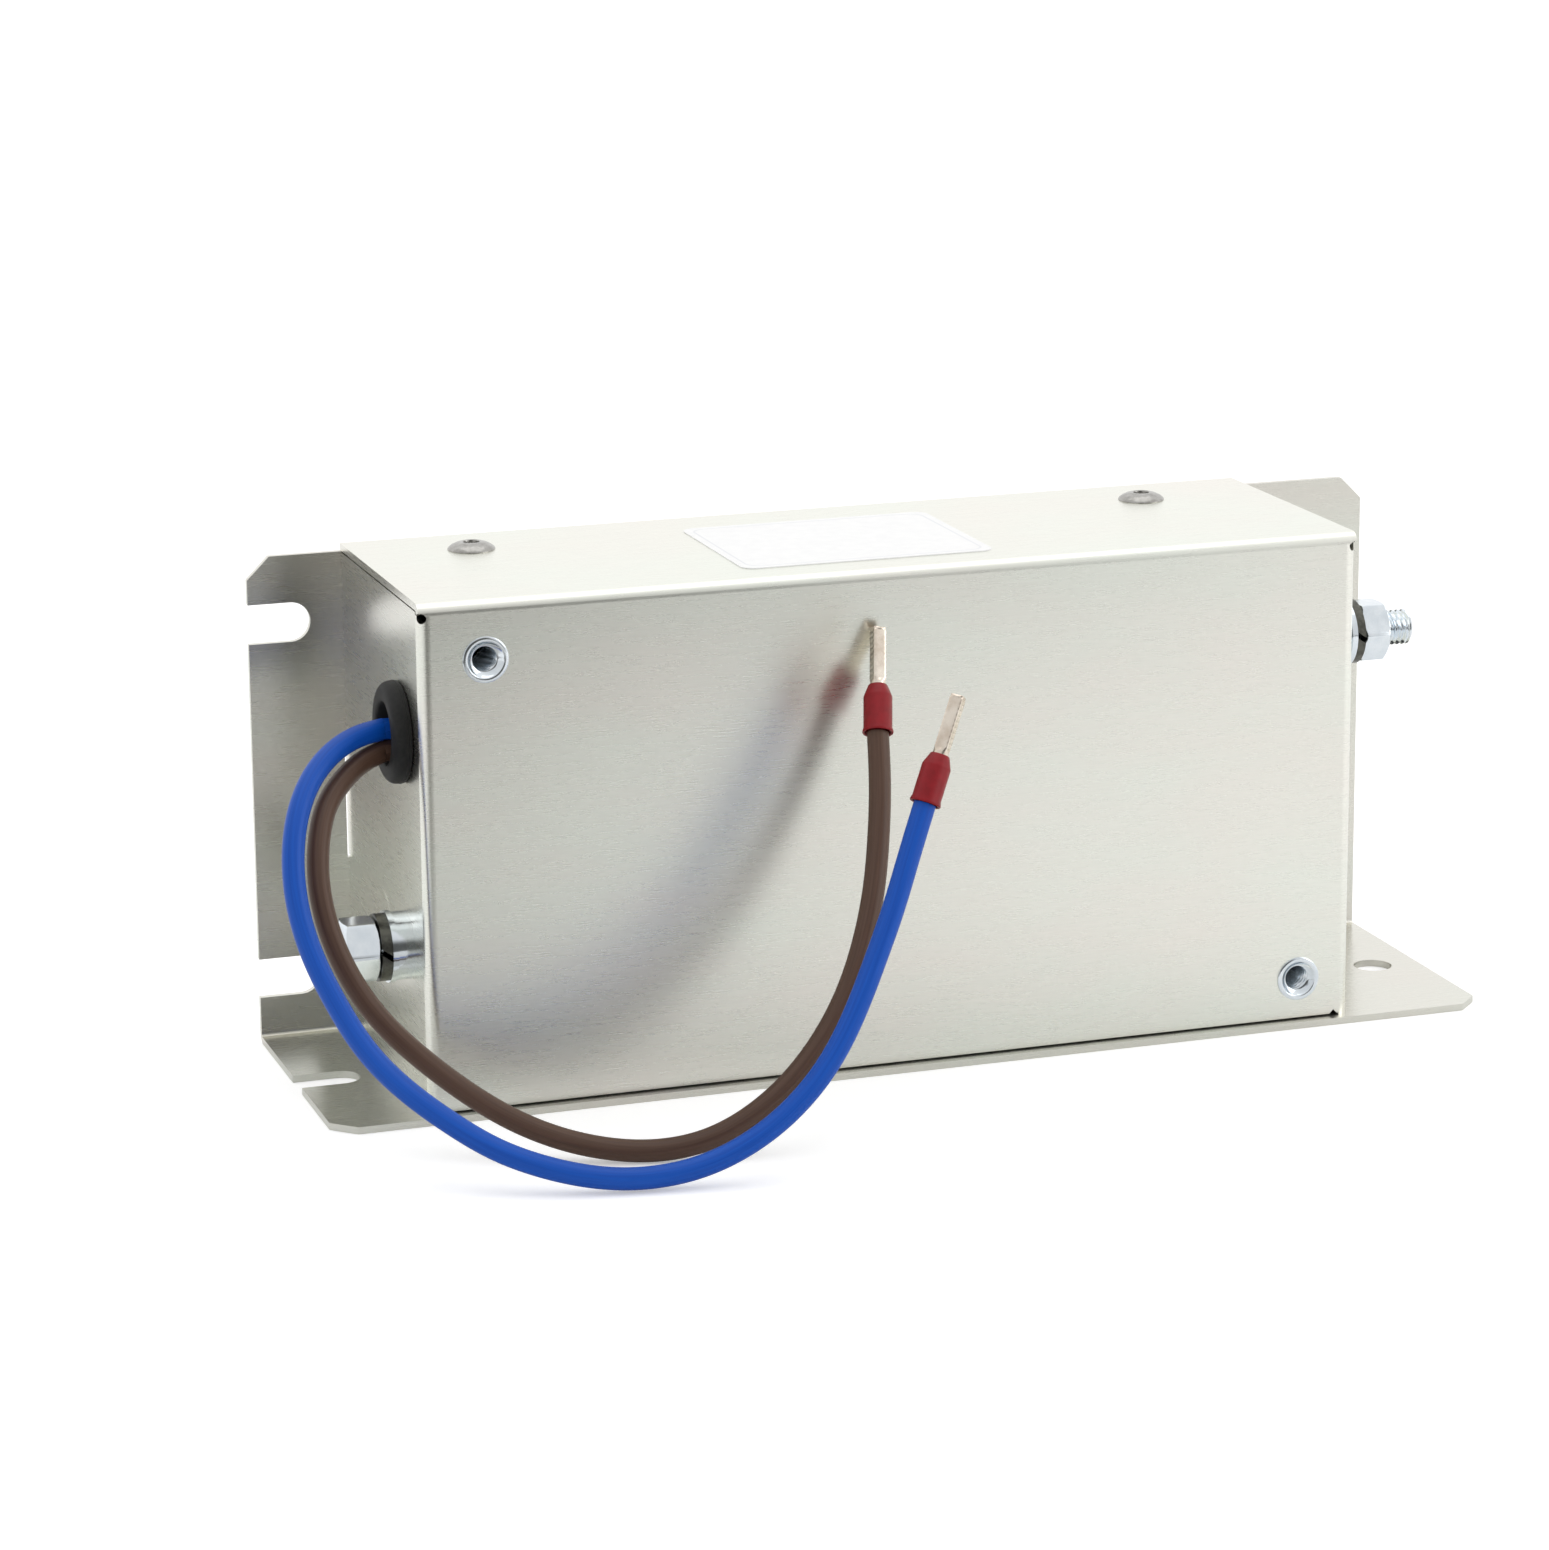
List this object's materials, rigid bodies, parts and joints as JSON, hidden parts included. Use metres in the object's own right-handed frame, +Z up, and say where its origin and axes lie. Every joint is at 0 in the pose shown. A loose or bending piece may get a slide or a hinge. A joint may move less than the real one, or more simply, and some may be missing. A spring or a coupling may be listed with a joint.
{
  "type": "emi line filter",
  "caption": "Footprint mains filter in a folded aluminium case with mounting ears, threaded inserts for a drive, earth studs and two load leads ending in ferrules.",
  "frame": {"origin": "under the middle of the bottom plate, on the surface it stands on", "axes": "+X along the case from the load leads to the line input, -Y to the front face that the drive is fixed to, +Z up"},
  "size_m": [0.1755, 0.0829, 0.0721],
  "materials": {
    "aluminium": "bare rolled sheet, satin, fine grain along its length",
    "rivet_steel": "plain steel, satin",
    "zinc": "bright bluish zinc plate",
    "spring_steel": "dark phosphated spring steel",
    "label": "white film label, bare",
    "rubber": "black moulded rubber, matt",
    "blue_insulation": "blue PVC insulation, slightly shiny",
    "brown_insulation": "dark brown PVC insulation, slightly shiny",
    "ferrule_plastic": "red polypropylene sleeve",
    "tin": "tinned copper, satin",
    "terminal_plastic": "dark grey glass-filled polyamide",
    "brass": "nickel-plated brass",
    "board": "green solder mask on glass-epoxy laminate",
    "liner": "insulating film",
    "ferrite": "ferrite with green epoxy coat",
    "choke_plastic": "black moulded base",
    "enamel_copper": "enamelled copper wire",
    "capacitor_case": "yellow moulded case",
    "disc_ceramic": "blue epoxy coat",
    "resistor": "tan lacquer"
  },
  "bodies": {
    "root": {"chassis": "aluminium", "cover": "aluminium", "cover_rivets": "rivet_steel", "board_screws": "rivet_steel", "terminal_screws": "rivet_steel", "standoffs": "rivet_steel", "insert_upper": "zinc", "insert_lower": "zinc", "earth_stud_load": "zinc", "earth_spacer_load": "zinc", "earth_washer_load": "zinc", "earth_nut_load": "zinc", "earth_stud_line": "zinc", "earth_spacer_line": "zinc", "earth_washer_line": "zinc", "earth_nut_line": "zinc", "earth_spring_load": "spring_steel", "earth_spring_line": "spring_steel", "label": "label", "grommet": "rubber", "lead_blue": "blue_insulation", "inner_blue": "blue_insulation", "link_neutral": "blue_insulation", "lead_brown": "brown_insulation", "inner_brown": "brown_insulation", "link_line": "brown_insulation", "sleeve_blue": "ferrule_plastic", "sleeve_brown": "ferrule_plastic", "pin_blue": "tin", "pin_brown": "tin", "terminal_block": "terminal_plastic", "clamp_line": "brass", "clamp_neutral": "brass", "board": "board", "liner": "liner", "choke_core": "ferrite", "choke_base": "choke_plastic", "winding_line": "enamel_copper", "winding_neutral": "enamel_copper", "xcap_line": "capacitor_case", "xcap_load": "capacitor_case", "ycap_line": "disc_ceramic", "ycap_neutral": "disc_ceramic", "bleeder": "resistor"}
  },
  "joints": []
}
